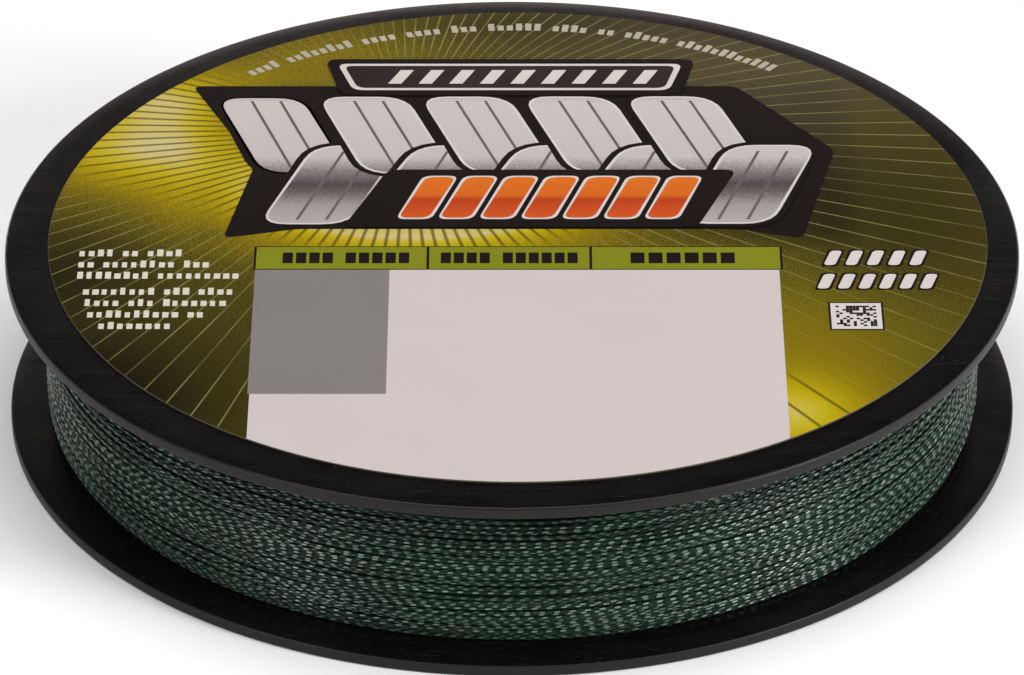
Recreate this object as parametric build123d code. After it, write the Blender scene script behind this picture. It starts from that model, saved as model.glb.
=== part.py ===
"""Fishing line filler spool: two moulded halves, the line wound on them, two labels, two tapes.

Each half is one moulding, modelled as its flange and its hub, two solids that meet face to face.

Millimetres. +Z runs up the spool's axis towards the front label. The origin is the centre of the
rear rim, which the spool lies on. Front means the +Z side, and the label reads upright towards +Y.
"""

import os
from math import asin, cos, degrees, radians, sin

from build123d import *

# Whole spool
FLANGE_R = 55.0  # widest radius, at the rims
BODY_H = 20.6  # rear rim to front flange face
FLANGE_T = 1.3
EDGE_BREAK_W = 0.5  # the outer edge of each rim is eased by this much in radius...
EDGE_BREAK_H = 0.4  # ...and by this much in height
EDGE_MID_W = 0.2  # a point half way round the eased edge, in from the rim...
EDGE_MID_H = 0.12  # ...and from the outer face
INNER_LIP = 0.15  # the rim's inner edge is barely broken

# Hub: a hollow drum, closed by the flanges, round a central boss
DRUM_R = 40.0
DRUM_WALL = 1.6
BORE_R = 8.0
BOSS_WALL = 2.2
SPLIT_Z = BODY_H / 2  # the halves meet here
SPIGOT_L = 3.0  # the front drum wall plugs this far into the rear one
SPIGOT_GAP = 0.05

# Ribs, pegs and sockets inside the drum
RIB_COUNT = 8
RIB_T = 1.2
RIB_GAP = 0.15  # each half's ribs stop short of the split by this much
PEG_COUNT = 4
PEG_CIRCLE_R = 24.0
PEG_R = 1.6
PEG_SHOULDER_R = 2.6
PEG_L = 4.0
PEG_END_GAP = 0.5
SOCKET_R = 3.0
SOCKET_GAP = 0.08
ROOT = 0.2  # ribs run this far into what they grow from

# Labels
LABEL_R = 51.0
LABEL_T = 0.15
LABEL_SHIFT = (0.6, 0.9)  # the front label was stuck on a little off centre
REAR_RECESS = 0.35  # the rear label lies below the rim, so the table never rubs it
REAR_RECESS_R = 52.6
RECESS_DRAFT = 0.2
REAR_LABEL_HOLE_R = 9.0

# Line and its tapes
PACK_R = 51.0  # crown of the winding
PACK_EDGE_R = 50.1  # beside the flanges
PACK_GAP = 0.05
PACK_SHOULDER = 2.6  # height over which the winding rounds off
TAPE_T = 0.12
TAPE_LIFT = 0.02  # glue under a tape
TAPE_SPARE = 0.3  # room round the starter tape in the winding
STARTER_TAPE = {"angle": 200.0, "span": 34.0, "width": 9.0}
END_TAPE = {"angle": 78.0, "span": 22.0, "width": 7.0}

# Moulding gate scar on the front rim
SCAR_W = 1.3
SCAR_L = 2.2
SCAR_DEPTH = 0.12

FRONT_INNER_Z = BODY_H - FLANGE_T  # the face that the line leans on
BOSS_R = BORE_R + BOSS_WALL
SPIGOT_R = DRUM_R - DRUM_WALL / 2


def turned(points):
    """A solid of revolution about Z from (radius, height) points joined by straight lines."""
    outline = Polyline(*[(r, 0, z) for r, z in points], close=True)
    return revolve(make_face(outline), Axis.Z)


def sector(inner_r, outer_r, low_z, high_z, middle, span):
    """A curved strip: part of a tube, span degrees long, centred on the angle middle."""
    a0 = radians(middle - span / 2)
    a1 = radians(middle)
    a2 = radians(middle + span / 2)
    far = [(outer_r * cos(a), outer_r * sin(a)) for a in (a0, a1, a2)]
    near = [(inner_r * cos(a), inner_r * sin(a)) for a in (a2, a1, a0)]
    edges = [
        ThreePointArc(*far),
        Line(far[2], near[0]),
        ThreePointArc(*near),
        Line(near[2], far[0]),
    ]
    face = Plane.XY.offset(low_z) * make_face(edges)
    return extrude(face, high_z - low_z)


def ribs(low_z, high_z):
    """Radial ribs, sunk into the boss and the drum wall at their ends."""
    inner = BOSS_R - ROOT
    outer = DRUM_R - DRUM_WALL + ROOT
    rib = Pos((inner + outer) / 2, 0, (low_z + high_z) / 2) * Box(outer - inner, RIB_T, high_z - low_z)
    return [Rot(0, 0, 360 * i / RIB_COUNT) * rib for i in range(RIB_COUNT)]


def peg_places():
    """Centres of the pegs and sockets, which stand on every second rib."""
    return [Pos(*polar(PEG_CIRCLE_R, 360 * i / PEG_COUNT)) for i in range(PEG_COUNT)]


def polar(radius, angle):
    """X and Y of a point at this radius and this many degrees from +X."""
    return radius * cos(radians(angle)), radius * sin(radians(angle))


def rod(radius, low_z, high_z):
    """An upright cylinder between two heights."""
    return Pos(0, 0, (low_z + high_z) / 2) * Cylinder(radius, high_z - low_z)


def tube(inner_r, outer_r, low_z, high_z):
    """An upright tube between two heights."""
    return rod(outer_r, low_z, high_z) - rod(inner_r, low_z, high_z)


def front_flange():
    """Disc of the front moulding, with eased rims and the scar that the gate left."""
    disc = turned(
        [
            (BORE_R, BODY_H),
            (FLANGE_R - EDGE_BREAK_W, BODY_H),
            (FLANGE_R - EDGE_MID_W, BODY_H - EDGE_MID_H),
            (FLANGE_R, BODY_H - EDGE_BREAK_H),
            (FLANGE_R, FRONT_INNER_Z + INNER_LIP),
            (FLANGE_R - INNER_LIP, FRONT_INNER_Z),
            (BORE_R, FRONT_INNER_Z),
        ]
    )
    return disc - Pos(0, -FLANGE_R, BODY_H) * Box(SCAR_W, 2 * SCAR_L, 2 * SCAR_DEPTH)


def rear_flange():
    """Disc of the rear moulding, with the recess that keeps its label off the table."""
    return turned(
        [
            (BORE_R, REAR_RECESS),
            (REAR_RECESS_R, REAR_RECESS),
            (REAR_RECESS_R + RECESS_DRAFT, 0),
            (FLANGE_R - EDGE_BREAK_W, 0),
            (FLANGE_R - EDGE_MID_W, EDGE_MID_H),
            (FLANGE_R, EDGE_BREAK_H),
            (FLANGE_R, FLANGE_T - INNER_LIP),
            (FLANGE_R - INNER_LIP, FLANGE_T),
            (BORE_R, FLANGE_T),
        ]
    )


def front_hub():
    """Front half of the drum with its spigot, boss, ribs and pegs."""
    drum_inner = DRUM_R - DRUM_WALL
    hub = tube(drum_inner, DRUM_R, SPLIT_Z, FRONT_INNER_Z)
    hub += tube(drum_inner, SPIGOT_R, SPLIT_Z - SPIGOT_L, SPLIT_Z)
    hub += rod(BOSS_R, SPLIT_Z, FRONT_INNER_Z)
    hub += ribs(SPLIT_Z + RIB_GAP, FRONT_INNER_Z)
    peg = rod(PEG_SHOULDER_R, SPLIT_Z, FRONT_INNER_Z) + rod(PEG_R, SPLIT_Z - PEG_L, SPLIT_Z)
    hub += [place * peg for place in peg_places()]
    return hub - rod(BORE_R, 0, BODY_H)


def rear_hub():
    """Rear half of the drum with the rebate for the spigot, boss, ribs and sockets."""
    drum_inner = DRUM_R - DRUM_WALL
    socket_top = SPLIT_Z - RIB_GAP
    hub = tube(drum_inner, DRUM_R, FLANGE_T, SPLIT_Z)
    hub += rod(BOSS_R, FLANGE_T, SPLIT_Z)
    hub += ribs(FLANGE_T, socket_top)
    hub += [place * rod(SOCKET_R, FLANGE_T, socket_top) for place in peg_places()]
    hub -= tube(drum_inner - SPIGOT_GAP, SPIGOT_R + SPIGOT_GAP, SPLIT_Z - SPIGOT_L - SPIGOT_GAP, SPLIT_Z)
    hole = rod(PEG_R + SOCKET_GAP, SPLIT_Z - PEG_L - PEG_END_GAP, SPLIT_Z)
    hub -= [place * hole for place in peg_places()]
    return hub - rod(BORE_R, 0, BODY_H)


def line_pack():
    """The wound line as one crowned ring between the flanges, hollowed where the starter tape lies."""
    low = FLANGE_T + PACK_GAP
    high = FRONT_INNER_Z - PACK_GAP
    inner = DRUM_R + PACK_GAP
    drop = PACK_R - PACK_EDGE_R
    round_r = (PACK_SHOULDER**2 + drop**2) / (2 * drop)  # the shoulder's arc meets the crown smoothly
    half_turn = asin(PACK_SHOULDER / round_r) / 2
    bend_r = PACK_R - round_r * (1 - cos(half_turn))
    bend_up = PACK_SHOULDER - round_r * sin(half_turn)
    outline = [
        ThreePointArc((PACK_EDGE_R, 0, low), (bend_r, 0, low + bend_up), (PACK_R, 0, low + PACK_SHOULDER)),
        Line((PACK_R, 0, low + PACK_SHOULDER), (PACK_R, 0, high - PACK_SHOULDER)),
        ThreePointArc((PACK_R, 0, high - PACK_SHOULDER), (bend_r, 0, high - bend_up), (PACK_EDGE_R, 0, high)),
        Polyline((PACK_EDGE_R, 0, high), (inner, 0, high), (inner, 0, low), (PACK_EDGE_R, 0, low)),
    ]
    ring = revolve(make_face(outline), Axis.Z)
    return ring - tape_strip(STARTER_TAPE, DRUM_R, 2 * TAPE_T, TAPE_SPARE)


def tape_strip(tape, radius, thickness, spare=0.0):
    """A strip of tape on a drum of the given radius, with spare added to its width and length."""
    half = tape["width"] / 2 + spare
    span = tape["span"] + degrees(2 * spare / radius)
    return sector(radius, radius + thickness, SPLIT_Z - half, SPLIT_Z + half, tape["angle"], span)


def front_label():
    """Round paper label on the front flange, which also covers the bore."""
    return Pos(*LABEL_SHIFT, BODY_H + LABEL_T / 2) * Cylinder(LABEL_R, LABEL_T)


def rear_label():
    """Round paper label in the rear recess, with a hole for the bore."""
    middle = REAR_RECESS - LABEL_T / 2
    return Pos(0, 0, middle) * (Cylinder(LABEL_R, LABEL_T) - Cylinder(REAR_LABEL_HOLE_R, 2 * LABEL_T))


PIECES = {
    "front_flange": front_flange(),
    "front_hub": front_hub(),
    "rear_flange": rear_flange(),
    "rear_hub": rear_hub(),
    "line_pack": line_pack(),
    "starter_tape": tape_strip(STARTER_TAPE, DRUM_R + TAPE_LIFT, TAPE_T),
    "end_tape": tape_strip(END_TAPE, PACK_R + TAPE_LIFT, TAPE_T),
    "front_label": front_label(),
    "rear_label": rear_label(),
}

os.makedirs("parts", exist_ok=True)
for name, piece in PIECES.items():
    export_step(piece, f"parts/{name}.step")
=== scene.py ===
"""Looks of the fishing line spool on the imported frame: smooth flanges, wound braided line, printed labels.

Metres. +Z is the spool's axis. The front label reads upright towards +Y.
"""

import math
import random

import bpy
import numpy as np
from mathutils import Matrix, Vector


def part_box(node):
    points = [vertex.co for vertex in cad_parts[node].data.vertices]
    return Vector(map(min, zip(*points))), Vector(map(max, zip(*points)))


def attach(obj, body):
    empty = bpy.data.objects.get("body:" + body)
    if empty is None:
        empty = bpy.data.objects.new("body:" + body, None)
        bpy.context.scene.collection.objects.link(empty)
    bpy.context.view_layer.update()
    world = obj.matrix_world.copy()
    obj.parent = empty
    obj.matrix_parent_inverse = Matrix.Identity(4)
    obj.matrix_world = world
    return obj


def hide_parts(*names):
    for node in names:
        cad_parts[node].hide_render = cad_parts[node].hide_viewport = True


MM = 0.001
TAU = 2 * math.pi

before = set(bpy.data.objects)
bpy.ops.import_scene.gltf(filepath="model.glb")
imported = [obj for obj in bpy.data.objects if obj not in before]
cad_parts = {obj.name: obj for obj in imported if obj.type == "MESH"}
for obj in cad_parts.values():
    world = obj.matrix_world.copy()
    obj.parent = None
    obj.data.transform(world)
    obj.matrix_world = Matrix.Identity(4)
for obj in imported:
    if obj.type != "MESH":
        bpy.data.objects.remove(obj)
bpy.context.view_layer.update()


# ---------------------------------------------------------------- sizes, read from the frame
def span(node, axis):
    low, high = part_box(node)
    return low[axis], high[axis]


FLANGE_R = span("front_flange", 0)[1] / MM
FRONT_INNER_Z, FACE_Z = (z / MM for z in span("front_flange", 2))
REAR_INNER_Z = span("rear_flange", 2)[1] / MM
DRUM_R = span("front_hub", 0)[1] / MM
LABEL_BASE_Z, LABEL_TOP_Z = (z / MM for z in span("front_label", 2))
LABEL_LOW, LABEL_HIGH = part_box("front_label")
LABEL_R = (LABEL_HIGH[0] - LABEL_LOW[0]) / 2 / MM
LABEL_X = (LABEL_HIGH[0] + LABEL_LOW[0]) / 2 / MM
LABEL_Y = (LABEL_HIGH[1] + LABEL_LOW[1]) / 2 / MM
LABEL_BEVEL = 0.04
REAR_LABEL_Z, RECESS_Z = (z / MM for z in span("rear_label", 2))
BORE_R = 8.0
PACK_R = span("line_pack", 0)[1] / MM

EASE_W, EASE_H = 0.3, 0.28  # how far the rims' outer edges are eased
LIP = 0.15  # the rims' inner edges
RECESS_R = 52.6
RECESS_WALL = 0.2
RECESS_EDGE = 0.05
FLANGE_STEPS = 360
SCAR_HALF = 0.65  # the gate scar at the front of the rim
SCAR_EDGE = 0.08
SCAR_LENGTH = 2.2
SCAR_DEPTH = 0.05


# ---------------------------------------------------------------- materials
def srgb(code):
    """Linear colour of a hex code such as "cdc4bd"."""
    values = [int(code[i : i + 2], 16) / 255 for i in (0, 2, 4)]
    return [v / 12.92 if v <= 0.04045 else ((v + 0.055) / 1.055) ** 2.4 for v in values] + [1.0]


class Graph:
    """One material's nodes, with short ways to add and join them."""

    def __init__(self, name, roughness=0.5, specular=0.5):
        self.material = bpy.data.materials.new(name)
        self.material.use_nodes = True
        self.nodes = self.material.node_tree.nodes
        self.links = self.material.node_tree.links
        self.shader = self.nodes["Principled BSDF"]
        self.shader.inputs["Roughness"].default_value = roughness
        self.shader.inputs["Specular IOR Level"].default_value = specular

    def feed(self, socket, value):
        """Joins a socket to another node's output, or sets it to a number or colour."""
        if isinstance(value, bpy.types.NodeSocket):
            self.links.new(value, socket)
        else:
            socket.default_value = value

    def surface(self, name, value):
        self.feed(self.shader.inputs[name], value)

    def math(self, operation, a, b=0.0, c=0.0, clamp=False):
        node = self.nodes.new("ShaderNodeMath")
        node.operation = operation
        node.use_clamp = clamp
        for socket, value in zip(node.inputs, (a, b, c)):
            self.feed(socket, value)
        return node.outputs[0]

    def remap(self, value, low, high, to_low=0.0, to_high=1.0):
        """A smooth step of value from low to high."""
        node = self.nodes.new("ShaderNodeMapRange")
        node.interpolation_type = "SMOOTHSTEP"
        for socket, number in zip(node.inputs, (value, low, high, to_low, to_high)):
            self.feed(socket, number)
        return node.outputs[0]

    def mix(self, factor, a, b, blend="MIX"):
        node = self.nodes.new("ShaderNodeMix")
        node.data_type = "RGBA"
        node.blend_type = blend
        self.feed(node.inputs[0], factor)
        self.feed(node.inputs[6], a)
        self.feed(node.inputs[7], b)
        return node.outputs[2]

    def ramp(self, factor, stops):
        """A colour ramp from (position, hex code) pairs."""
        node = self.nodes.new("ShaderNodeValToRGB")
        elements = node.color_ramp.elements
        while len(elements) < len(stops):
            elements.new(0.5)
        for element, (position, code) in zip(elements, stops):
            element.position = position
            element.color = srgb(code)
        self.feed(node.inputs[0], factor)
        return node.outputs[0]

    def place(self, scale=(1, 1, 1)):
        """Object coordinates in millimetres, stretched by scale."""
        coordinates = self.nodes.new("ShaderNodeTexCoord")
        mapping = self.nodes.new("ShaderNodeMapping")
        mapping.inputs["Scale"].default_value = [s / MM for s in scale]
        self.links.new(coordinates.outputs["Object"], mapping.inputs[0])
        return mapping.outputs[0]

    def split(self, vector):
        node = self.nodes.new("ShaderNodeSeparateXYZ")
        self.feed(node.inputs[0], vector)
        return node.outputs[0], node.outputs[1], node.outputs[2]

    def noise(self, vector, scale, detail=2.0, roughness=0.5):
        node = self.nodes.new("ShaderNodeTexNoise")
        self.feed(node.inputs["Vector"], vector)
        node.inputs["Scale"].default_value = scale
        node.inputs["Detail"].default_value = detail
        node.inputs["Roughness"].default_value = roughness
        return node.outputs[0]

    def length(self, a, b):
        """The length of the flat vector (a, b)."""
        squares = self.math("ADD", self.math("MULTIPLY", a, a), self.math("MULTIPLY", b, b))
        return self.math("SQRT", squares)

    def specks(self, vector, scale, size):
        """1 in small round spots scattered over the surface, 0 elsewhere."""
        node = self.nodes.new("ShaderNodeTexVoronoi")
        self.feed(node.inputs["Vector"], vector)
        node.inputs["Scale"].default_value = scale
        return self.remap(node.outputs["Distance"], size, size * 0.5)

    def attribute(self, name):
        node = self.nodes.new("ShaderNodeAttribute")
        node.attribute_name = name
        return node.outputs["Fac"]

    def bump(self, height, distance):
        """Relief this many millimetres deep."""
        node = self.nodes.new("ShaderNodeBump")
        node.inputs["Strength"].default_value = 1.0
        node.inputs["Distance"].default_value = distance * MM
        self.feed(node.inputs["Height"], height)
        self.feed(self.shader.inputs["Normal"], node.outputs[0])


def plastic(name):
    """Satin black moulded plastic: fine grain, faint streaks and hairlines, dust, and duller rims with a
    painted reflection.
    """
    g = Graph(name, specular=0.2)
    place = g.place()
    streaks = g.noise(g.place((0.12, 1.6, 1.6)), 1.0, 3.0, 0.6)
    blotches = g.noise(place, 0.09, 3.0, 0.55)
    grain = g.noise(place, 5.0, 2.0, 0.6)
    dust = g.specks(place, 0.55, 0.06)
    dark = g.ramp(blotches, [(0.3, "060505"), (0.7, "0d0b0c")])
    streaky = g.mix(g.remap(streaks, 0.35, 0.75, 0.0, 0.35), dark, srgb("1b1918"))
    hairs = g.remap(g.noise(g.place((0.3, 6.0, 6.0)), 1.0, 2.0, 0.5), 0.62, 0.76, 0.0, 0.35)
    scratched = g.mix(hairs, streaky, srgb("3a3735"))
    worn = g.mix(g.math("MULTIPLY", dust, 0.4), scratched, srgb("5e5a58"))
    x, y, _ = g.split(place)
    rim_dullness_and_painted_reflection = g.remap(g.length(x, y), FLANGE_R - 0.16, FLANGE_R - 0.03)
    # Painted reflection: the rims' sides are painted paler where they catch the bright surroundings; they
    # are rougher as well.
    g.surface("Base Color", g.mix(g.math("MULTIPLY", rim_dullness_and_painted_reflection, 0.6), worn, srgb("272323")))
    rough = g.math("MULTIPLY_ADD", blotches, 0.1, g.math("MULTIPLY_ADD", rim_dullness_and_painted_reflection, 0.2, 0.13))
    g.surface("Roughness", g.math("MULTIPLY_ADD", streaks, 0.08, rough))
    relief = g.math("MULTIPLY_ADD", streaks, 0.5, grain)
    g.bump(relief, 0.012)
    return g.material


SHADE_START, SHADE_END = 9.5, 4.0  # mm below the front flange; the painted shade in the braid's colour and gloss deepens between them
SHADE_DEPTH = 0.62


def braid(name, light=1.0):
    """Moss green braid: waxy picks that shine in a diamond weave, their crests lit by a painted highlight,
    over gaps darkened by painted shade.

    Some turns are duller than others, and painted shade darkens the winding towards the front flange.
    A light below 1 paints the whole braid darker, as painted shade on the deep turns.
    """
    g = Graph(name)
    wave = g.math("COSINE", g.math("MULTIPLY", g.attribute("picks"), TAU))
    lengthwise = g.math("MAXIMUM", g.math("MINIMUM", g.math("MULTIPLY", wave, 1.5), 1.0), -1.0)
    around = g.attribute("around")
    pick = g.math("MULTIPLY", g.math("ABSOLUTE", g.math("SUBTRACT", around, lengthwise)), 0.5)
    place = g.place()
    fibres = g.noise(place, 6.0, 2.0, 0.6)
    clouds = g.noise(place, 0.16, 2.0, 0.5)
    tint = g.noise(place, 0.5, 2.0, 0.5)
    crest = g.math("MULTIPLY", g.remap(pick, 0.42, 0.98), g.attribute("shine"))
    # Painted highlight: the picks' crests are lighter in the colour, on top of their real gloss below.
    level = g.math("MULTIPLY_ADD", fibres, 0.3, g.math("SUBTRACT", crest, 0.08))
    base = g.ramp(level, [(0.0, "15231b"), (0.3, "2c4236"), (0.6, "40574a"), (1.0, "72867a")])
    warm = g.mix(g.remap(tint, 0.52, 0.72, 0.0, 0.3), base, srgb("2f2d22"))
    # Painted shade: each strand's colour darkens towards its upper and lower flanks, so the gaps between
    # turns read dark. The clouds vary the tone at random; a light below 1 is painted shade.
    flank = g.remap(g.attribute("flank"), 0.55, 1.0, 1.0, 0.4)
    shade = g.math("MULTIPLY", flank, g.remap(clouds, 0.3, 0.7, 0.8 * light, 1.2 * light))
    height = g.split(place)[2]
    # Painted shade: the braid's colour and gloss darken towards the front flange, which shades the winding.
    painted_flange_shade = g.remap(height, FRONT_INNER_Z - SHADE_START, FRONT_INNER_Z - SHADE_END, 1.0, SHADE_DEPTH)
    shade = g.math("MULTIPLY", shade, painted_flange_shade)
    shade_colour = g.mix(shade, [0, 0, 0, 1], [1, 1, 1, 1])
    g.surface("Base Color", g.mix(1.0, warm, shade_colour, "MULTIPLY"))
    # The picks' real gloss, dimmed by the same painted shade as the colour.
    pick_gloss_in_painted_shade = g.math("MULTIPLY", crest, shade)
    g.surface("Specular IOR Level", g.math("MULTIPLY_ADD", pick_gloss_in_painted_shade, 1.2, 0.05))
    g.surface("Roughness", g.math("MULTIPLY_ADD", fibres, 0.2, 0.22))
    g.bump(g.math("MULTIPLY_ADD", fibres, 0.3, pick), 0.04)
    return g.material


def paper_edge(name):
    """Cut paper with ink at its edge."""
    g = Graph(name, roughness=0.85, specular=0.3)
    fibres = g.noise(g.place(), 4.0, 3.0, 0.6)
    g.surface("Base Color", g.ramp(fibres, [(0.3, "4b4738"), (0.7, "5f5a48")]))
    g.bump(fibres, 0.02)
    return g.material


INK_ROUGHNESS = 0.42


def ink(name, stops, low, high):
    """Printed ink whose colour runs through stops as Y goes from low to high."""
    g = Graph(name, roughness=INK_ROUGHNESS, specular=0.02)
    place = g.place()
    along = g.split(place)[1]
    dots = g.noise(place, 2.6, 2.0, 0.7)
    position = g.math("DIVIDE", g.math("SUBTRACT", along, low), high - low)
    level = g.math("MULTIPLY_ADD", g.math("SUBTRACT", dots, 0.5), 0.1, position)
    g.surface("Base Color", g.ramp(level, stops))
    mottle = g.noise(place, 0.3, 2.0, 0.5)
    g.surface("Roughness", g.math("MULTIPLY_ADD", mottle, 0.14, INK_ROUGHNESS - 0.07))
    g.bump(dots, 0.004)
    return g.material


def plain_ink(name, code, other):
    """One printed colour, with the faint mottle of ink on paper between code and other."""
    g = Graph(name, roughness=INK_ROUGHNESS, specular=0.02)
    place = g.place()
    dots = g.noise(place, 2.2, 3.0, 0.7)
    cloud = g.noise(place, 0.08, 3.0, 0.5)
    level = g.math("MULTIPLY_ADD", cloud, 0.6, g.math("MULTIPLY", dots, 0.4))
    g.surface("Base Color", g.ramp(level, [(0.3, code), (0.7, other)]))
    g.surface("Roughness", g.math("MULTIPLY_ADD", cloud, 0.14, INK_ROUGHNESS - 0.07))
    g.bump(dots, 0.003)
    return g.material


# Light and dark lobes of the label's background: middle and reach in label millimetres, strength
LOBES = [
    ((-40, 31), (11, 7), 0.52),
    ((-41, 19), (14, 9), 0.62),
    ((-49, -8), (9, 9), -0.16),
    ((-21, 41), (14, 15), 0.21),
    ((-11, 8), (19, 10), 1.7),
    ((28, -38), (9, 8), 0.5),
    ((30, -21), (18, 23), 0.25),
    ((-49, -37), (17, 17), -0.35),
    ((38, 0), (16, 20), -0.17),
    ((0, 48), (34, 5), -0.1),
]
BASE_LEVEL = 0.24
GREY_LOBE = ((28, 40), (26, 18), 0.6)  # where the print turns from olive to grey brown
EMBLEM_SHADE = ((0.5, 16.0), (33.0, 15.0))  # middle and half size of the emblem's soft shadow
SHADE_REACH = 5.5
RAY_CENTRE = (-12.3, 23.5)
RAY_COUNT = 120
PALE_RAY_HALF = 0.08
DARK_RAY_HALF = 0.19
DARK_RAY = "3f360b"
BACKGROUND = [
    (0.0, "171203"),
    (0.07, "252007"),
    (0.2, "3b350c"),
    (0.35, "5c5210"),
    (0.5, "7e6b06"),
    (0.65, "9b8606"),
    (0.78, "b09c0e"),
    (0.86, "b9a634"),
    (0.97, "c6b88c"),
]
SMOOTH_LOBE = ((36, -28), (15, 17), 1.0)  # where the halftone grain fades out


def label_coordinates(g):
    """Millimetres right and up from the label's centre."""
    x, y, _ = g.split(g.place())
    return g.math("SUBTRACT", x, LABEL_X), g.math("SUBTRACT", y, LABEL_Y)


def lobe(g, u, v, middle, reach, strength):
    """A soft round hill of this strength."""
    du = g.math("DIVIDE", g.math("SUBTRACT", u, middle[0]), reach[0])
    dv = g.math("DIVIDE", g.math("SUBTRACT", v, middle[1]), reach[1])
    square = g.math("ADD", g.math("MULTIPLY", du, du), g.math("MULTIPLY", dv, dv))
    return g.math("MULTIPLY", g.math("POWER", math.e, g.math("MULTIPLY", square, -1.0)), strength)


def box_shade(g, u, v, middle, half_size, reach):
    """1 inside a box, falling softly to 0 this far outside it."""
    past = []
    for value, centre, half in zip((u, v), middle, half_size):
        distance = g.math("ABSOLUTE", g.math("SUBTRACT", value, centre))
        past.append(g.math("MAXIMUM", g.math("SUBTRACT", distance, half), 0))
    return g.remap(g.length(*past), reach, 0.0)


def ray_distance(g, u, v):
    """How far the point (u, v) is from the nearest of the rays that spread from the origin."""
    turn = g.math("MULTIPLY", g.math("ARCTAN2", v, u), RAY_COUNT / TAU)
    offset = g.math("ABSOLUTE", g.math("SUBTRACT", g.math("FRACT", turn), 0.5))
    return g.math("MULTIPLY", g.math("MULTIPLY", offset, TAU / RAY_COUNT), g.length(u, v))


def label_print(name):
    """Green-gold printed background: soft light lobes, fine rays and halftone grain."""
    g = Graph(name, roughness=0.4, specular=0.02)
    u, v = label_coordinates(g)
    level = BASE_LEVEL
    for middle, reach, strength in LOBES:
        level = g.math("ADD", level, lobe(g, u, v, middle, reach, strength))
    shade = box_shade(g, u, v, *EMBLEM_SHADE, SHADE_REACH)
    level = g.math("MINIMUM", level, 1.0)
    level = g.math("SUBTRACT", level, g.math("MULTIPLY", shade, 0.1))
    place = g.place()
    dots = g.noise(place, 5.5, 1.0, 0.6)
    middling = g.math("MULTIPLY", g.remap(level, 0.1, 0.3), g.remap(level, 0.9, 0.55))
    grainy = g.math("SUBTRACT", 1.0, lobe(g, u, v, *SMOOTH_LOBE))
    strength = g.math("MULTIPLY_ADD", g.math("MULTIPLY", middling, grainy), 0.55, 0.14)
    grain = g.math("MULTIPLY", g.math("SUBTRACT", dots, 0.5), strength)
    level = g.math("ADD", level, grain, clamp=True)
    colour = g.ramp(level, BACKGROUND)
    colour = g.mix(lobe(g, u, v, *GREY_LOBE), colour, srgb("50473a"))
    away = ray_distance(g, g.math("SUBTRACT", u, RAY_CENTRE[0]), g.math("SUBTRACT", v, RAY_CENTRE[1]))
    ray = g.remap(away, PALE_RAY_HALF + 0.05, PALE_RAY_HALF - 0.05)
    patchy = g.math("MULTIPLY", ray, g.remap(g.noise(place, 0.12, 2.0, 0.5), 0.3, 0.65, 0.35, 1.0))
    on_dark = g.math("MULTIPLY", patchy, g.remap(level, 0.5, 0.32, 0.0, 0.55))
    dark_ray = g.remap(away, DARK_RAY_HALF + 0.08, DARK_RAY_HALF - 0.08)
    on_light = g.math("MULTIPLY", dark_ray, g.remap(level, 0.5, 0.72, 0.0, 0.74))
    colour = g.mix(on_dark, colour, srgb("9a9658"))
    colour = g.mix(on_light, colour, srgb(DARK_RAY))
    g.surface("Base Color", colour)
    mottle = g.noise(place, 0.25, 2.0, 0.5)
    g.surface("Roughness", g.math("MULTIPLY_ADD", mottle, 0.12, 0.34))
    g.bump(dots, 0.003)
    return g.material


REAR_RING_R = 47.5  # one dark ring runs from here to the rear label's edge
REAR_EYE_R = 13.0  # and the other from its hole to here


def rear_print(name):
    """The rear label's ground: green-gold paper between two dark rings, with faint rays."""
    g = Graph(name, roughness=0.42, specular=0.02)
    place = g.place()
    x, y, _ = g.split(place)
    radius = g.length(x, y)
    dots = g.noise(place, 5.5, 1.0, 0.6)
    cloud = g.noise(place, 0.045, 2.0, 0.5)
    wash = g.remap(cloud, 0.3, 0.7, 0.34, 0.58)
    colour = g.ramp(g.math("MULTIPLY_ADD", g.math("SUBTRACT", dots, 0.5), 0.3, wash), BACKGROUND)
    ray = g.remap(ray_distance(g, x, y), DARK_RAY_HALF, PALE_RAY_HALF, 0.0, 0.6)
    colour = g.mix(ray, colour, srgb(DARK_RAY))
    outer = g.remap(radius, REAR_RING_R - 0.1, REAR_RING_R + 0.1)
    inner = g.remap(radius, REAR_EYE_R + 0.1, REAR_EYE_R - 0.1)
    g.surface("Base Color", g.mix(g.math("MAXIMUM", outer, inner), colour, srgb("1b1614")))
    g.surface("Roughness", g.math("MULTIPLY_ADD", cloud, 0.12, 0.36))
    g.bump(dots, 0.003)
    return g.material


def tape_material(name):
    """Thin matt tape, yellowed white with fibres."""
    g = Graph(name, roughness=0.6, specular=0.35)
    place = g.place()
    fibres = g.noise(g.place((1, 1, 6)), 1.5, 3.0, 0.6)
    g.surface("Base Color", g.ramp(fibres, [(0.3, "b8b29c"), (0.7, "d6d1bf")]))
    g.bump(g.noise(place, 2.0, 2.0, 0.6), 0.02)
    return g.material


def floor_material():
    g = Graph("floor_white", roughness=0.7, specular=0.2)
    cloud = g.noise(g.place(), 0.01, 2.0, 0.5)
    g.surface("Base Color", g.ramp(cloud, [(0.3, "f6f6f5"), (0.7, "fbfbfa")]))
    return g.material


# ---------------------------------------------------------------- meshes
def new_object(name, vertices, faces, materials, smooth_below=None):
    """A mesh object. Faces that meet at less than smooth_below degrees shade as one surface."""
    mesh = bpy.data.meshes.new(name)
    mesh.from_pydata([tuple(v) for v in vertices], [], [tuple(f) for f in faces])
    mesh.update()
    for material in materials:
        mesh.materials.append(material)
    if smooth_below is not None:
        mesh.shade_smooth()
        mesh.set_sharp_from_angle(angle=math.radians(smooth_below))
    piece = bpy.data.objects.new(name, mesh)
    bpy.context.scene.collection.objects.link(piece)
    return piece


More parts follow.
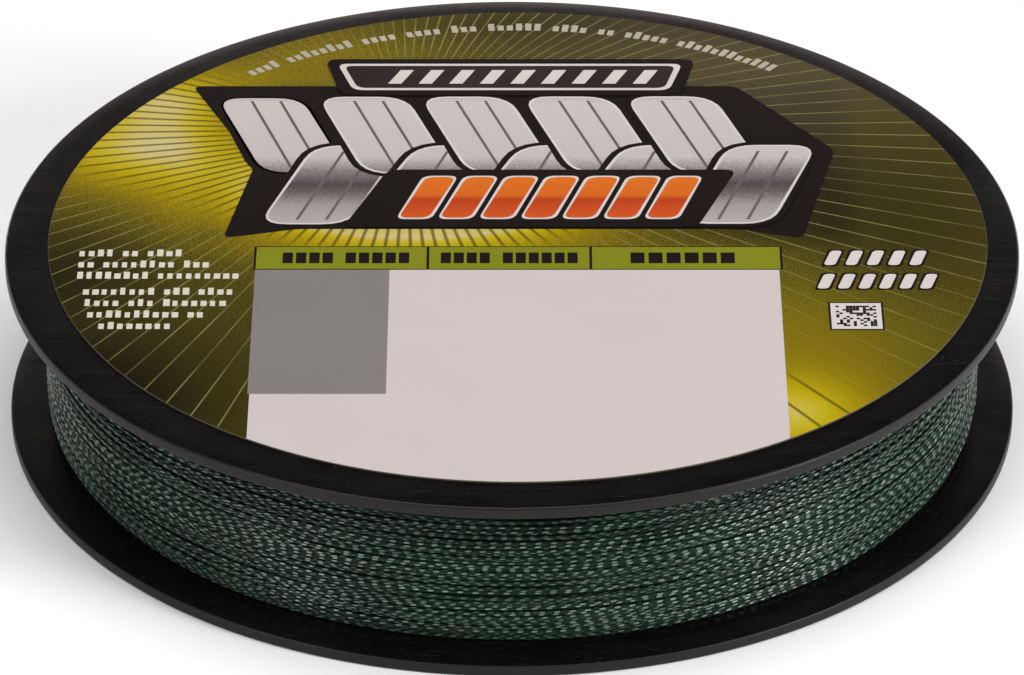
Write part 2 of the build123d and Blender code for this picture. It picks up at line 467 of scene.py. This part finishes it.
def stands_for(piece, slot, *nodes):
    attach(piece, "root")
    if nodes:
        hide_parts(*nodes)


def arc_points(middle, radii, start, end, steps):
    """Points of an elliptical arc in (radius, height), between two angles in degrees."""
    r, z = middle
    wide, high = radii
    angles = [math.radians(start + (end - start) * i / steps) for i in range(steps + 1)]
    return [(r + wide * math.cos(a), z + high * math.sin(a)) for a in angles]


def lathe(name, profile, angles, materials, smooth_below=40):
    """A closed ring: the (radius, height) loop in millimetres swept through the angles."""
    points = np.array(profile)
    count = len(points)
    rings = []
    for angle in angles:
        x = points[:, 0] * math.cos(angle)
        y = points[:, 0] * math.sin(angle)
        rings.append(np.stack([x, y, points[:, 1]], axis=1))
    vertices = np.concatenate(rings) * MM
    faces = []
    for i in range(len(angles)):
        here = i * count
        there = ((i + 1) % len(angles)) * count
        for j in range(count):
            k = (j + 1) % count
            faces.append((here + j, here + k, there + k, there + j))
    return new_object(name, vertices, faces, materials, smooth_below)


def even_angles(steps):
    return [TAU * i / steps for i in range(steps)]


def front_flange():
    """The flange that carries the front label, with the moulding's gate scar on its front rim."""
    profile = [(BORE_R, FRONT_INNER_Z), (BORE_R, FACE_Z)]
    for r in (20, 35, 45, 50, 53):
        profile.append((r, FACE_Z))
    profile += arc_points((FLANGE_R - EASE_W, FACE_Z - EASE_H), (EASE_W, EASE_H), 90, 0, 6)
    profile.append((FLANGE_R, FRONT_INNER_Z + LIP + 0.3))
    profile += arc_points((FLANGE_R - LIP, FRONT_INNER_Z + LIP), (LIP, LIP), 0, -90, 3)
    for r in (53, 50, 45, 40, 25):
        profile.append((r, FRONT_INNER_Z))
    outside = SCAR_HALF + SCAR_EDGE
    scar = [-TAU / 4 + side / FLANGE_R for side in (-outside, -SCAR_HALF, 0, SCAR_HALF, outside)]
    clear = 1.2 * SCAR_HALF / FLANGE_R
    even = [a for a in even_angles(FLANGE_STEPS) if abs(a - 0.75 * TAU) > clear]
    angles = sorted([a % TAU for a in scar] + even)
    piece = lathe("front_flange_shell", profile, angles, [PLASTIC])
    sink_scar(piece)
    stands_for(piece, "spool_plastic", "front_flange")


def sink_scar(piece):
    """Sinks the flange's top edge a little where the gate was cut off."""
    for vertex in piece.data.vertices:
        x, y, z = (c / MM for c in vertex.co)
        inside = abs(x) < SCAR_HALF + 0.01 and y < SCAR_LENGTH - FLANGE_R and z > FACE_Z - EASE_H
        if inside:
            vertex.co.z -= SCAR_DEPTH * MM


def rear_flange():
    """The flange that the spool lies on, with the shallow recess for its label."""
    profile = [(BORE_R, REAR_INNER_Z)]
    for r in (25, 40, 45, 50, 53):
        profile.append((r, REAR_INNER_Z))
    profile += arc_points((FLANGE_R - LIP, REAR_INNER_Z - LIP), (LIP, LIP), 90, 0, 3)
    profile.append((FLANGE_R, EASE_H + 0.1))
    profile += arc_points((FLANGE_R - EASE_W, EASE_H), (EASE_W, EASE_H), 0, -90, 6)
    mouth = RECESS_R + RECESS_WALL
    profile += [(mouth + RECESS_EDGE, 0), (mouth, RECESS_EDGE)]
    for r in (RECESS_R, 40, 20, BORE_R):
        profile.append((r, RECESS_Z))
    piece = lathe("rear_flange_shell", profile, even_angles(FLANGE_STEPS), [PLASTIC])
    stands_for(piece, "spool_plastic", "rear_flange")


# ---------------------------------------------------------------- the wound line
LINE_D = 0.44
PICK = 1.52  # length of one braid pick along the line
PICK_RELIEF = 0.045
SLANT = -0.5  # how far a pick leans along the line, in picks for one turn round it
COLUMNS = 2  # picks that lie side by side on each half of the line
SECTION = np.radians((-135, -80, -50, -25, 0, 25, 50, 80, 135))
STEP = PICK / 3  # length between rings of points along the line
CROWN_DROP = 0.9  # the winding is this much slimmer beside the flanges
SHOULDER = 2.6
TURNS = 74
TRAVERSE_TURNS = 9.3  # turns from one flange to the other
WIND_DEPTH = 0.4  # the modelled turns climb this far out
LINE_PIECES = 6
END_ANGLE = math.radians(78)  # the line's outer end lies under the end tape


def pack_radius(z):
    """Outer radius of the winding at height z, in millimetres."""
    low = REAR_INNER_Z + SHOULDER
    high = FRONT_INNER_Z - SHOULDER
    reach = np.maximum(np.maximum(low - z, z - high), 0) / SHOULDER
    return PACK_R - CROWN_DROP * np.clip(reach, 0, 1) ** 2


def slow_noise(values, seed, lengths, strength):
    """A smooth random curve over the given positions, as a sum of waves of these lengths."""
    rng = np.random.default_rng(seed)
    total = np.zeros_like(values)
    for length in lengths:
        phase = rng.uniform(0, TAU)
        total += np.sin(values * TAU / length + phase) * rng.uniform(0.5, 1.0)
    return total * strength / len(lengths)


def line_course():
    """Angle, radius and height of the line's middle, and the length so far, up to its taped outer end."""
    length = np.arange(0, TURNS * TAU * (PACK_R - 0.4), STEP)
    turn = length / (TAU * (PACK_R - 0.4))
    phase = turn / TRAVERSE_TURNS + 0.37
    sweep = 1 - np.abs(1 - phase % 2)
    edge = LINE_D / 2 + 0.06
    low, high = REAR_INNER_Z + edge, FRONT_INNER_Z - edge
    wander = slow_noise(length, 5, (31, 47, 83, 151, 260), 0.3)
    z = np.clip(low + (high - low) * sweep + wander, low, high)
    depth = WIND_DEPTH * (1 - turn / TURNS)
    lift = slow_noise(length, 9, (19, 37, 61), 0.05)
    radius = pack_radius(z) - LINE_D / 2 - depth - 0.04 + np.minimum(lift, 0.03)
    angle = (turn - TURNS) * TAU + END_ANGLE
    return angle, radius, z, length


def line_tube(name, angle, radius, z, length, material):
    """A braided tube along the course, with its picks in relief. It slowly rolls over as it goes."""
    roll = slow_noise(length, 21, (170, 410, 930), 2.4)
    around = np.cos(COLUMNS * (SECTION[None, :] - roll[:, None]))
    drift = slow_noise(length, 27, (29, 67, 139), 0.8)
    picks = (length / PICK + drift)[:, None] + SLANT * SECTION[None, :] / TAU
    pick = np.abs(around - np.cos(picks * TAU)) / 2
    thickness = LINE_D / 2 + PICK_RELIEF * (pick - 0.5)
    r = radius[:, None] + thickness * np.cos(SECTION)[None, :]
    height = z[:, None] + thickness * np.sin(SECTION)[None, :]
    x = r * np.cos(angle)[:, None]
    y = r * np.sin(angle)[:, None]
    vertices = np.stack([x, y, height], axis=2).reshape(-1, 3) * MM
    rows, sides = pick.shape
    i = np.arange(rows - 1)[:, None] * sides
    j = np.arange(sides)[None, :]
    k = (j + 1) % sides
    quads = np.stack([i + j, i + sides + j, i + sides + k, i + k], axis=2).reshape(-1, 4)
    caps = [tuple(range(sides)), tuple(range((rows - 1) * sides, rows * sides))[::-1]]
    piece = new_tube(name, vertices, quads, caps, material)
    # shine: how glossy each turn's picks are, which also sets how bright their painted highlight is.
    shine = 0.75 + slow_noise(length, 33, (140, 330, 520, 1300), 0.5)
    paint(piece, "picks", picks.ravel())
    paint(piece, "around", around.ravel())
    paint(piece, "shine", np.repeat(shine, sides))
    paint(piece, "flank", np.tile(np.abs(np.sin(SECTION)), rows))
    return piece


def paint(piece, name, values):
    """Stores one number on each of a mesh's points for its material to read."""
    layer = piece.data.attributes.new(name, "FLOAT", "POINT")
    layer.data.foreach_set("value", np.asarray(values, dtype=np.float32))


def new_tube(name, vertices, quads, caps, material):
    """A smooth mesh object from large arrays."""
    mesh = bpy.data.meshes.new(name)
    cap_corners = np.array([v for cap in caps for v in cap])
    loops = np.concatenate([quads.ravel(), cap_corners]).astype(np.int32)
    sizes = [4] * len(quads) + [len(cap) for cap in caps]
    starts = np.concatenate([[0], np.cumsum(sizes)[:-1]]).astype(np.int32)
    mesh.vertices.add(len(vertices))
    mesh.vertices.foreach_set("co", vertices.astype(np.float32).ravel())
    mesh.loops.add(len(loops))
    mesh.loops.foreach_set("vertex_index", loops)
    mesh.polygons.add(len(sizes))
    mesh.polygons.foreach_set("loop_start", starts)
    mesh.update(calc_edges=True)
    mesh.materials.append(material)
    mesh.shade_smooth()
    piece = bpy.data.objects.new(name, mesh)
    bpy.context.scene.collection.objects.link(piece)
    return piece


def under_layers():
    """The deeper turns as one ring with a ridge for each turn."""
    pitch = 0.6
    low = REAR_INNER_Z + 0.05
    high = FRONT_INNER_Z - 0.05
    count = int((high - low) / pitch)
    pitch = (high - low) / count
    profile = [(DRUM_R + 0.3, high), (DRUM_R + 0.3, low)]
    for i in range(count):
        middle = low + pitch * (i + 0.5)
        crest = float(pack_radius(middle)) - WIND_DEPTH - LINE_D / 2
        for side in (-0.46, -0.3, 0, 0.3, 0.46):
            bulge = math.sqrt(max(0.0, 0.25 - side * side)) * LINE_D
            profile.append((crest - LINE_D / 2 + bulge, middle + side * pitch))
    steps = 240
    # UNDER_BRAID is the braid painted darker, as painted shade on the deep turns.
    piece = lathe("line_under_layers", profile, even_angles(steps), [UNDER_BRAID], 75)
    rows = len(profile)
    paint(piece, "picks", np.repeat(np.arange(steps) * TAU * PACK_R / steps / PICK, rows))
    paint(piece, "around", np.tile(np.cos(np.arange(rows) * 2.5), steps))
    # Painted shade: the deep turns get a lower shine, which dims their gloss and their painted highlight.
    paint(piece, "shine", np.full(steps * rows, 0.5))
    paint(piece, "flank", np.zeros(steps * rows))
    stands_for(piece, "braided_line", "line_pack")


def wound_line():
    """The outer turns as one braided line, crossing to and fro between the flanges."""
    course = line_course()
    cuts = np.linspace(0, len(course[0]) - 1, LINE_PIECES + 1).astype(int)
    for i in range(LINE_PIECES):
        part = [values[cuts[i] : cuts[i + 1] + 1] for values in course]
        piece = line_tube(f"line_outer_turns_{i + 1}", *part, BRAID)
        stands_for(piece, "braided_line", "line_pack")
    edge_turn("line_rear_turn", REAR_INNER_Z + LINE_D / 2 + 0.04)
    edge_turn("line_front_turn", FRONT_INNER_Z - LINE_D / 2 - 0.04)


def edge_turn(name, z):
    """One settled turn against a flange."""
    length = np.arange(0, TAU * PACK_R, STEP)
    angle = length / PACK_R
    height = np.full(len(length), z)
    radius = np.full(len(length), PACK_R - CROWN_DROP - LINE_D / 2 + 0.05)
    piece = line_tube(name, angle, radius, height, length, BRAID)
    stands_for(piece, "braided_line", "line_pack")


# ---------------------------------------------------------------- prints
INK_THICKNESS = 0.006


def printed(name, outlines, bottom, top, material, slot="label_print", shift=None):
    """Thin printed shapes: each outline of (right, up) label millimetres becomes a flat plate."""
    dx, dy = shift or (LABEL_X, LABEL_Y)
    vertices, faces = [], []
    for outline in outlines:
        start = len(vertices)
        count = len(outline)
        vertices += [((u + dx) * MM, (v + dy) * MM, bottom * MM) for u, v in outline]
        vertices += [((u + dx) * MM, (v + dy) * MM, top * MM) for u, v in outline]
        faces.append(tuple(start + count + i for i in range(count)))
        faces.append(tuple(start + i for i in reversed(range(count))))
        for i in range(count):
            j = (i + 1) % count
            faces.append((start + i, start + j, start + count + j, start + count + i))
    piece = new_object(name, vertices, faces, [material])
    stands_for(piece, slot)
    return piece


def bar(u, v, width, height):
    """A bar from its lower left corner."""
    return [(u, v), (u + width, v), (u + width, v + height), (u, v + height)]


def curve_points(corners, steps):
    """Points on the Bezier curve with these control points."""
    points = []
    for i in range(steps + 1):
        t = i / steps
        row = [Vector(c) for c in corners]
        while len(row) > 1:
            row = [p.lerp(q, t) for p, q in zip(row, row[1:])]
        points.append(row[0])
    return points


def rounded(corners, radius, steps=5):
    """An outline with each corner rounded off."""
    outline = []
    count = len(corners)
    for i in range(count):
        before, here, after = (Vector(corners[(i + k) % count]) for k in (-1, 0, 1))
        start = here + (before - here).normalized() * min(radius, (before - here).length / 2)
        end = here + (after - here).normalized() * min(radius, (after - here).length / 2)
        outline += curve_points([start, here, end], steps)
    return [(p.x, p.y) for p in outline]


class Sheet:
    """The printing on one label: plates of ink that stack up in the order they are added."""

    def __init__(self, prefix):
        self.prefix = prefix
        self.height = LABEL_TOP_Z

    def add(self, name, outlines, material, thickness=INK_THICKNESS):
        printed(f"{self.prefix}_{name}", outlines, self.height, self.height + thickness, material)

    def rise(self, amount=0.004):
        self.height += amount


STRIP_FIELDS = [(-28.25, 18.4), (-9.55, 17.3), (8.05, 20.3)]  # left end and width
# Blocks on the green strip: left end, number and advance
STRIP_WORDS = [(-25.4, 4, 1.44), (-18.6, 5, 1.44), (-8.3, 4, 1.4), (-1.6, 6, 1.4), (12.2, 6, 1.95)]


def panel(sheet):
    """The blank panel that runs off the label's front edge, and the green strip above it."""
    left, right, top = -28.1, 28.2, -7.8
    edge = LABEL_R - LABEL_BEVEL
    start = math.atan2(-math.sqrt(edge**2 - left**2), left)
    end = math.atan2(-math.sqrt(edge**2 - right**2), right)
    steps = 40
    bottom = []
    for i in range(steps + 1):
        turn = start + (end - start) * i / steps
        bottom.append((edge * math.cos(turn), edge * math.sin(turn)))
    sheet.add("panel", [[(right, top), (left, top)] + bottom], PANEL_INK)
    sheet.add("strip_outline", [bar(-28.5, -7.75, 57.1, 5.0)], DARK_INK)
    sheet.rise()
    sheet.add("panel_patch", [bar(-28.3, -33.6, 14.5, 25.8)], PATCH_INK)
    fields = [bar(u, -7.6, width, 4.7) for u, width in STRIP_FIELDS]
    sheet.add("strip", fields, STRIP_INK)
    sheet.rise()
    words = []
    for u, count, advance in STRIP_WORDS:
        words += [bar(u + advance * i, -6.4, advance * 0.78, 2.3) for i in range(count)]
    sheet.add("strip_words", words, DARK_INK)


BLOCK_RANDOM = random.Random(7)


def word_row(u, v, height, lengths, advance, solid):
    """A row of blocks in place of words of these lengths. Some stand taller than others."""
    blocks = []
    for count in lengths:
        for _ in range(count):
            width = advance * solid * BLOCK_RANDOM.uniform(0.85, 1.15)
            top = height * BLOCK_RANDOM.choice((0.76, 0.76, 1.0))
            blocks.append(bar(u, v, width, top))
            u += advance
        u += advance * 0.7
    return blocks


PLAIT_MIDDLE = 16.4  # height of the plait's middle line
PLAIT_PITCH = 5.75
PLAIT_COUNT = 10
PLAIT_WIDTH = 10.0
PLAIT_DEPTH = 14.4  # how far a strand reaches from the middle line
BAND_DEPTH = 11.0  # the same for strands that end behind the rope's band
BEHIND_BAND = (3, 5, 7)


def emblem(sheet):
    """A silver plait on a black plate, with a short orange rope across its lower half."""
    plate = [(-32.0, -1.0), (-24.0, 1.0), (24.0, 1.0), (31.0, -1.0)]
    plate += [(35.2, 18.6), (24.6, 33.3), (-36.6, 33.3), (-29.0, 15.4)]
    sheet.add("emblem_plate", [rounded(plate, 1.2)], DARK_INK)
    for i in range(PLAIT_COUNT):
        plait_strand(sheet, i)
    sheet.rise(0.006)
    band = rounded([(-19.0, 1.3), (19.6, 1.3), (24.2, 14.0), (-14.3, 14.0)], 1.4)
    sheet.add("rope_band", [band], DARK_INK)
    for name, material, grow in (("rim", WHITE_INK, 0.3), ("strands", ORANGE_INK, 0.0)):
        sheet.rise()
        strands = [rounded(rope_strand(-13.0 + 4.5 * i, grow), 1.1) for i in range(7)]
        sheet.add(f"rope_{name}", strands, material)


def plait_strand(sheet, i):
    """One strand with its dark edge, pale rim, silver face and grooves. Even ones lie above the middle."""
    side = 1 if i % 2 == 0 else -1
    u = -34.0 + PLAIT_PITCH * i
    depth = BAND_DEPTH if i in BEHIND_BAND else PLAIT_DEPTH
    layers = (("edge", DARK_INK, 0.7), ("rim", WHITE_INK, 0.0), ("face", SILVER_INK, -0.32))
    for part, material, grow in layers:
        sheet.rise(0.002)
        corners = [(x, PLAIT_MIDDLE + side * y) for x, y in plait_outline(u, grow, depth)]
        outline = rounded(corners, 3.2 + grow)
        sheet.add(f"plait_{i + 1}_{part}", [outline[::side]], material, 0.002)
    sheet.rise(0.002)
    grooves = []
    for across in (0.36, 0.68):
        groove = [(x, PLAIT_MIDDLE + side * y) for x, y in plait_groove(u, across)]
        grooves.append(groove[::side])
    sheet.add(f"plait_{i + 1}_grooves", grooves, GROOVE_INK, 0.002)


def plait_outline(u, grow, depth):
    """The corners of an upper strand, which slopes down to the right past the middle line."""
    slope = 5.6
    right = u + PLAIT_WIDTH + grow
    left = u - grow
    foot, head = -3.2 - grow, depth + grow
    return [(left + slope, foot), (right + slope, foot), (right, head), (left, head)]


def plait_groove(u, across):
    """A thin dark line down a strand, this share of the way across it."""
    foot, head = -1.8, 13.4
    left = u + PLAIT_WIDTH * across
    return [(left + 5.2, foot), (left + 5.55, foot), (left + 0.75, head), (left + 0.4, head)]


def rope_strand(u, grow):
    """The corners of one slanting strand of the rope."""
    low, high = 3.3 - grow, 12.3 + grow
    return [(u - grow, low), (u + 3.3 + grow, low), (u + 6.2 + grow, high), (u + 2.9 - grow, high)]


def plaque(sheet):
    """The small plate above the emblem, with a silver frame and a row of silver lozenges."""
    outer = [(-20.4, 38.4), (-18.5, 32.2), (17.1, 32.2), (18.7, 38.4)]
    shadow = [(-21.8, 39.5), (-19.8, 31.0), (18.4, 31.0), (20.2, 39.5)]
    inner = [(-19.6, 37.9), (-18.0, 32.7), (16.6, 32.7), (17.9, 37.9)]
    sheet.add("plaque_shadow", [rounded(shadow, 1.6)[::-1]], DARK_INK)
    sheet.rise()
    sheet.add("plaque_frame", [rounded(outer, 1.2)[::-1]], WHITE_INK)
    sheet.rise()
    sheet.add("plaque_face", [rounded(inner, 1.0)[::-1]], PLAQUE_INK)
    sheet.rise()
    lozenges = []
    for i in range(9):
        u = -14.6 + 3.45 * i
        lozenges.append([(u, 33.7), (u + 1.5, 33.7), (u + 2.9, 36.9), (u + 1.4, 36.9)])
    sheet.add("plaque_lozenges", lozenges, WHITE_INK)


# Rows of small print: left end, foot and word lengths
LEFT_ROWS = [
    (-47.4, -4.9, (4, 2, 4)),
    (-47.4, -7.3, (2, 8, 3)),
    (-47.4, -9.7, (8, 9)),
    (-46.6, -13.1, (8, 3, 4)),
    (-46.3, -15.5, (4, 3, 7)),
    (-45.9, -17.9, (10, 2)),
    (-44.6, -20.3, (8,)),
]


def small_print(sheet):
    """Rows of pale blocks where the label carries its small print, and a square of random cells."""
    arc_blocks = []
    advance = 1.04
    reach = 46.6
    turn = math.radians(90 + 39.4)
    for length in (4, 8, 4, 4, 3, 6, 4, 2, 5, 12):
        for _ in range(length):
            height = BLOCK_RANDOM.choice((1.2, 1.2, 1.65))
            arc_blocks.append(arc_block(turn, reach, advance * 0.66, height))
            turn -= advance / reach
        turn -= advance / reach
    sheet.add("arc_print", arc_blocks, ARC_INK)
    rows = []
    for u, v, lengths in LEFT_ROWS:
        rows += word_row(u, v, 1.45, lengths, 1.0, 0.62)
    sheet.add("left_print", rows, PALE_INK)
    feet = [(33.0 + 2.3 * i, -6.8) for i in range(5)]
    feet += [(32.1 + 2.2 * i, -11.8) for i in range(6)]
    for name, material, grow in (("_outline", DARK_INK, 0.28), ("", WHITE_INK, 0.0)):
        sheet.add("right_print" + name, [rounded(lozenge(u, v, grow), 0.5) for u, v in feet], material)
        sheet.rise()
    code_square(sheet)


def code_square(sheet):
    """A pale square with a dark outline, filled with random cells that say nothing."""
    left, bottom, side = 33.4, -20.3, 5.4
    sheet.add("code_outline", [bar(left - 0.22, bottom - 0.22, side + 0.44, side + 0.44)], DARK_INK)
    sheet.rise()
    sheet.add("code_ground", [bar(left, bottom, side, side)], WHITE_INK)
    sheet.rise()
    cell = 0.36
    margin = 0.55
    cells = []
    for row in range(12):
        for column in range(12):
            if BLOCK_RANDOM.random() < 0.5:
                corner = (left + margin + cell * column, bottom + margin + cell * row)
                cells.append(bar(*corner, cell * 0.96, cell * 0.96))
    sheet.add("code_cells", cells, DARK_INK)


def lozenge(u, v, grow):
    """A slanting block of the large print."""
    width, height, slant = 1.25, 3.1, 0.9
    return [
        (u - grow, v - grow),
        (u + width + grow, v - grow),
        (u + slant + width + grow, v + height + grow),
        (u + slant - grow, v + height + grow),
    ]


def arc_block(turn, reach, width, height):
    """A block standing on a circle round the label's centre."""
    half = width / 2 / reach
    left, right = turn + half, turn - half
    top = reach + height
    corners = [(reach, left), (reach, right), (top, right), (top, left)]
    return [(radius * math.cos(angle), radius * math.sin(angle)) for radius, angle in corners]


def label_disc():
    """The paper disc: a printed face, a raw cut edge and a plain back."""
    steps = 288
    shoulder = (LABEL_R, LABEL_TOP_Z - LABEL_BEVEL)
    outline = [(LABEL_R, LABEL_BASE_Z), shoulder, (LABEL_R - LABEL_BEVEL, LABEL_TOP_Z)]
    vertices = []
    for r, z in outline:
        for a in even_angles(steps):
            x, y = LABEL_X + r * math.cos(a), LABEL_Y + r * math.sin(a)
            vertices.append((x * MM, y * MM, z * MM))
    faces = []
    for ring in range(len(outline) - 1):
        for i in range(steps):
            j = (i + 1) % steps
            low = ring * steps
            faces.append((low + i, low + j, low + steps + j, low + steps + i))
    faces.append(tuple(range(2 * steps, 3 * steps)))
    faces.append(tuple(reversed(range(steps))))
    materials = [label_print("label_background"), PAPER_EDGE]
    piece = new_object("front_label_disc", vertices, faces, materials)
    for polygon in piece.data.polygons:
        polygon.material_index = 0 if len(polygon.vertices) > 4 and polygon.normal.z > 0 else 1
    stands_for(piece, "label_print", "front_label")


def rear_small_print():
    """The rear label's printing: a pale panel with rows of blocks and plain strokes, and blocks opposite."""
    rows = []
    for i, lengths in enumerate(((6, 3, 8), (4, 7, 5), (9, 6), (5, 2, 9))):
        rows += word_row(-21.0, -23.5 - 3.6 * i, 1.9, lengths, 1.25, 0.66)
    strokes = []
    u = 6.0
    while u < 20.0:
        width = BLOCK_RANDOM.choice((0.25, 0.25, 0.5, 0.75))
        strokes.append(bar(u, -34.5, width, 12.0))
        u += width + BLOCK_RANDOM.choice((0.3, 0.3, 0.6))
    upper = []
    for i, lengths in enumerate(((7, 5, 8), (4, 8, 3, 6), (6, 9, 4), (8, 4))):
        upper += word_row(-16.0 + 1.1 * i, 32.5 - 4.2 * i, 2.2, lengths, 1.4, 0.66)
    plates = [
        ("rear_panel", [rounded(bar(-24.0, -38.0, 48.0, 20.0), 1.5)], PANEL_INK),
        ("rear_rows", rows, DARK_INK),
        ("rear_strokes", strokes, DARK_INK),
        ("rear_upper_rows", upper, PALE_INK),
    ]
    z = REAR_LABEL_Z
    for name, outlines, material in plates:
        z -= INK_THICKNESS
        mirrored = [[(-u, v) for u, v in reversed(outline)] for outline in outlines]
        printed(name, mirrored, z, REAR_LABEL_Z, material, "rear_print", (0.0, 0.0))


WORLD_LIGHT = 0.02
WHITE = (1.0, 1.0, 1.0)
WARM = (1.0, 0.86, 0.84)
# Softboxes: name, place, the point they face, width and height, watts and tint
LIGHTS = [
    ("top_softbox", (0.0, -0.05, 0.9), (0, 0, 0), (1.0, 0.8), 7.2, WHITE),
    ("right_softbox", (0.74, -0.38, 0.3), (0, 0, 0.01), (0.25, 0.4), 7.2, WHITE),
    ("left_softbox", (-0.62, -0.54, 0.3), (0, 0, 0.01), (0.25, 0.4), 2.6, WHITE),
    ("back_card", (0.0, 0.3, 0.065), (0, 0, 0.065), (1.1, 0.12), 0.8, WARM),
]


def stage():
    """Floor, lights and camera."""
    corners = [(-3, -3, 0), (3, -3, 0), (3, 3, 0), (-3, 3, 0)]
    floor = new_object("floor", corners, [(0, 1, 2, 3)], [floor_material()])
    world = bpy.data.worlds.new("studio")
    bpy.context.scene.world = world
    world.use_nodes = True
    background = world.node_tree.nodes["Background"]
    background.inputs["Color"].default_value = (1, 1, 1, 1)
    background.inputs["Strength"].default_value = WORLD_LIGHT
    for name, place, aim, size, watts, tint in LIGHTS:
        lamp = bpy.data.lights.new(name, "AREA")
        lamp.shape = "RECTANGLE"
        lamp.size, lamp.size_y = size
        lamp.energy = watts
        lamp.color = tint
        holder = bpy.data.objects.new(name, lamp)
        holder.location = place
        holder.rotation_euler = (Vector(aim) - Vector(place)).to_track_quat("-Z", "Y").to_euler()
        bpy.context.scene.collection.objects.link(holder)
    camera()


VIEW_TARGET = (0.0, 0.0, FACE_Z * MM)
VIEW_DISTANCE = 0.766
VIEW_ELEVATION = math.radians(29.97)
VIEW_DROP = math.radians(0.8)  # the camera looks this far below the label's centre
LENS_MM = 247.9


def camera():
    """A long lens in front, as high as the view of the label asks."""
    data = bpy.data.cameras.new("camera")
    data.lens = LENS_MM
    data.sensor_width = 36
    data.clip_start = 0.05
    holder = bpy.data.objects.new("camera", data)
    x, y, z = VIEW_TARGET
    holder.location = (
        x,
        y - VIEW_DISTANCE * math.cos(VIEW_ELEVATION),
        z + VIEW_DISTANCE * math.sin(VIEW_ELEVATION),
    )
    holder.rotation_euler = (math.pi / 2 - VIEW_ELEVATION - VIEW_DROP, 0, 0)
    bpy.context.scene.collection.objects.link(holder)
    bpy.context.scene.camera = holder
    bpy.context.scene.view_settings.view_transform = "Standard"


PLASTIC = plastic("spool_black_plastic")
BRAID = braid("moss_braid")
# A copy of the braid painted darker, as painted shade on the deep turns.
UNDER_BRAID = braid("moss_braid_deep_painted_shade", 0.6)
PAPER_EDGE = paper_edge("cut_paper")
TAPE = tape_material("tape_paper")
REAR_GROUND = rear_print("rear_label_ground")
DARK_INK = plain_ink("ink_black", "120e0c", "1b1614")
WHITE_INK = plain_ink("ink_white", "c6bdb9", "cec6c2")
PALE_INK = plain_ink("ink_pale", "c4c0b0", "d2cebf")
ARC_INK = plain_ink("ink_arc", "a49c8a", "b3ab9a")
PANEL_INK = plain_ink("ink_panel", "c1b7b6", "c5bbba")
PATCH_INK = plain_ink("ink_grey", "7a7572", "7e7977")
STRIP_INK = plain_ink("ink_green", "767a16", "7c801c")
PLAQUE_INK = plain_ink("ink_plaque", "1f1817", "352d2b")
GROOVE_INK = plain_ink("ink_groove", "57504f", "6b6362")
SILVER_STOPS = [
    (0.0, "aea7a4"),
    (0.18, "978f8c"),
    (0.27, "635957"),
    (0.33, "4b4145"),
    (0.42, "7c7273"),
    (0.52, "b9b0af"),
    (0.92, "c0b7b4"),
    (1.0, "9c9491"),
]
SILVER_INK = ink("ink_silver", SILVER_STOPS, LABEL_Y + 0.5, LABEL_Y + 32.0)
ORANGE_STOPS = [
    (0.0, "c4551f"),
    (0.2, "bd481c"),
    (0.46, "ab3d17"),
    (0.54, "c9601c"),
    (1.0, "cf6a1c"),
]
ORANGE_INK = ink("ink_orange", ORANGE_STOPS, LABEL_Y + 3, LABEL_Y + 12.6)

front_flange()
rear_flange()
under_layers()
wound_line()
label_disc()
front_print = Sheet("label")
panel(front_print)
small_print(front_print)
emblem(front_print)
plaque(front_print)
rear_small_print()
stage()

CAD_MATERIALS = {
    "front_hub": PLASTIC,
    "rear_hub": PLASTIC,
    "starter_tape": TAPE,
    "end_tape": TAPE,
    "rear_label": REAR_GROUND,
}
for node, material in CAD_MATERIALS.items():
    for material_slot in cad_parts[node].material_slots:
        material_slot.material = material
